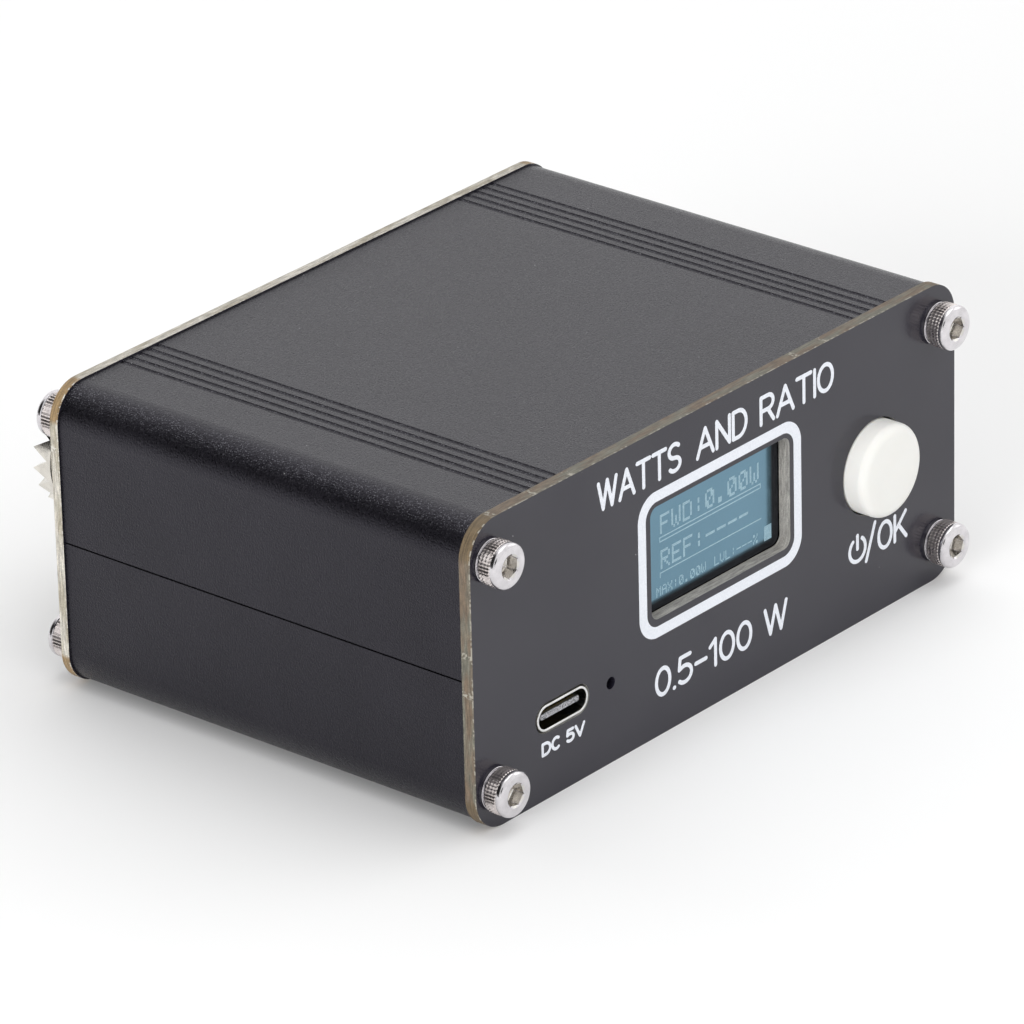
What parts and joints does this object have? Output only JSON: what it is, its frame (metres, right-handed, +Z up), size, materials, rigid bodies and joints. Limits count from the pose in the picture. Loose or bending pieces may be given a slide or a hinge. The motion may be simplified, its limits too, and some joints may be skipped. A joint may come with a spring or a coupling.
{
  "type": "swr meter",
  "caption": "Pocket radio power and standing-wave meter: split extruded case, board panels, small display, push button, charging port and rear UHF sockets.",
  "frame": {"origin": "on the resting surface, below the middle of the whole object's box", "axes": "+X to the right seen from the front, +Y to the back where the sockets are, +Z up"},
  "size_m": [0.088, 0.0826, 0.038],
  "materials": {
    "anodised_case": "black anodised, fine sand-blasted",
    "panel_board": "satin black solder mask over glass-fibre board",
    "screw_nickel": "bright nickel plated steel",
    "button_white": "smooth off-white moulded plastic",
    "switch_black": "moulded black plastic",
    "sheet_steel": "plain tinned sheet",
    "display_glass": "blue-grey reflective display glass",
    "ribbon_amber": "amber polyimide film",
    "board_green": "green solder mask over glass-fibre board",
    "pin_gold": "gold flashed",
    "usb_steel": "bright nickel plated sheet steel",
    "tongue_black": "moulded black plastic",
    "chip_black": "moulded epoxy",
    "led_clear": "diffused epoxy",
    "ceramic_tan": "fired ceramic",
    "crystal_can": "drawn steel can",
    "diode_glass": "orange glass bead",
    "battery_foil": "laminated foil pouch",
    "foam_grey": "closed-cell foam tape",
    "wire_red": "red wire insulation",
    "wire_black": "black wire insulation",
    "plug_white": "natural nylon",
    "socket_nickel": "nickel plated brass, slightly warm",
    "socket_insulator": "white fluoropolymer",
    "contact_plated": "plated brass",
    "ferrite_grey": "bare ferrite",
    "enamel_wire": "enamelled copper",
    "copper_line": "plain copper rod"
  },
  "bodies": {
    "case": {"upper_shell": "anodised_case", "lower_shell": "anodised_case", "front_panel": "panel_board", "rear_panel": "panel_board", "front_screws": "screw_nickel", "rear_screws": "screw_nickel", "switch_cover": "sheet_steel", "switch_housing": "switch_black", "switch_dome": "sheet_steel", "switch_terminals": "sheet_steel", "display_glass": "display_glass", "display_ribbon": "ribbon_amber", "display_board": "board_green", "display_header": "switch_black", "display_pins": "pin_gold", "control_board": "board_green", "board_header": "switch_black", "board_pins": "pin_gold", "main_board": "board_green", "usb_shell": "usb_steel", "usb_tongue": "tongue_black", "usb_contacts": "pin_gold", "charge_led": "led_clear", "charger_chip": "chip_black", "charger_coil": "ferrite_grey", "controller_chip": "chip_black", "controller_leads": "sheet_steel", "crystal": "crystal_can", "chip_capacitors": "ceramic_tan", "chip_resistors": "chip_black", "detector_diodes": "diode_glass", "battery_cell": "battery_foil", "battery_pad": "foam_grey", "battery_lead_red": "wire_red", "battery_lead_black": "wire_black", "battery_plug": "plug_white", "battery_socket": "plug_white", "through_line": "copper_line", "line_sleeve": "socket_insulator", "line_core": "ferrite_grey", "line_winding": "enamel_wire", "sample_core": "ferrite_grey", "sample_winding": "enamel_wire", "left_socket_body": "socket_nickel", "left_socket_insulator": "socket_insulator", "left_socket_contact": "contact_plated", "left_socket_washer": "socket_nickel", "left_socket_nut": "socket_nickel", "right_socket_body": "socket_nickel", "right_socket_insulator": "socket_insulator", "right_socket_contact": "contact_plated", "right_socket_washer": "socket_nickel", "right_socket_nut": "socket_nickel"},
    "button": {"button_cap": "button_white", "switch_plunger": "switch_black"}
  },
  "joints": [
    {"name": "button_press", "type": "slide", "parent": "case", "child": "button", "axis": [0, 1, 0], "range_m": [0, 0.00035], "stiffness_N_per_m": 5000, "springref_m": -0.0001}
  ]
}
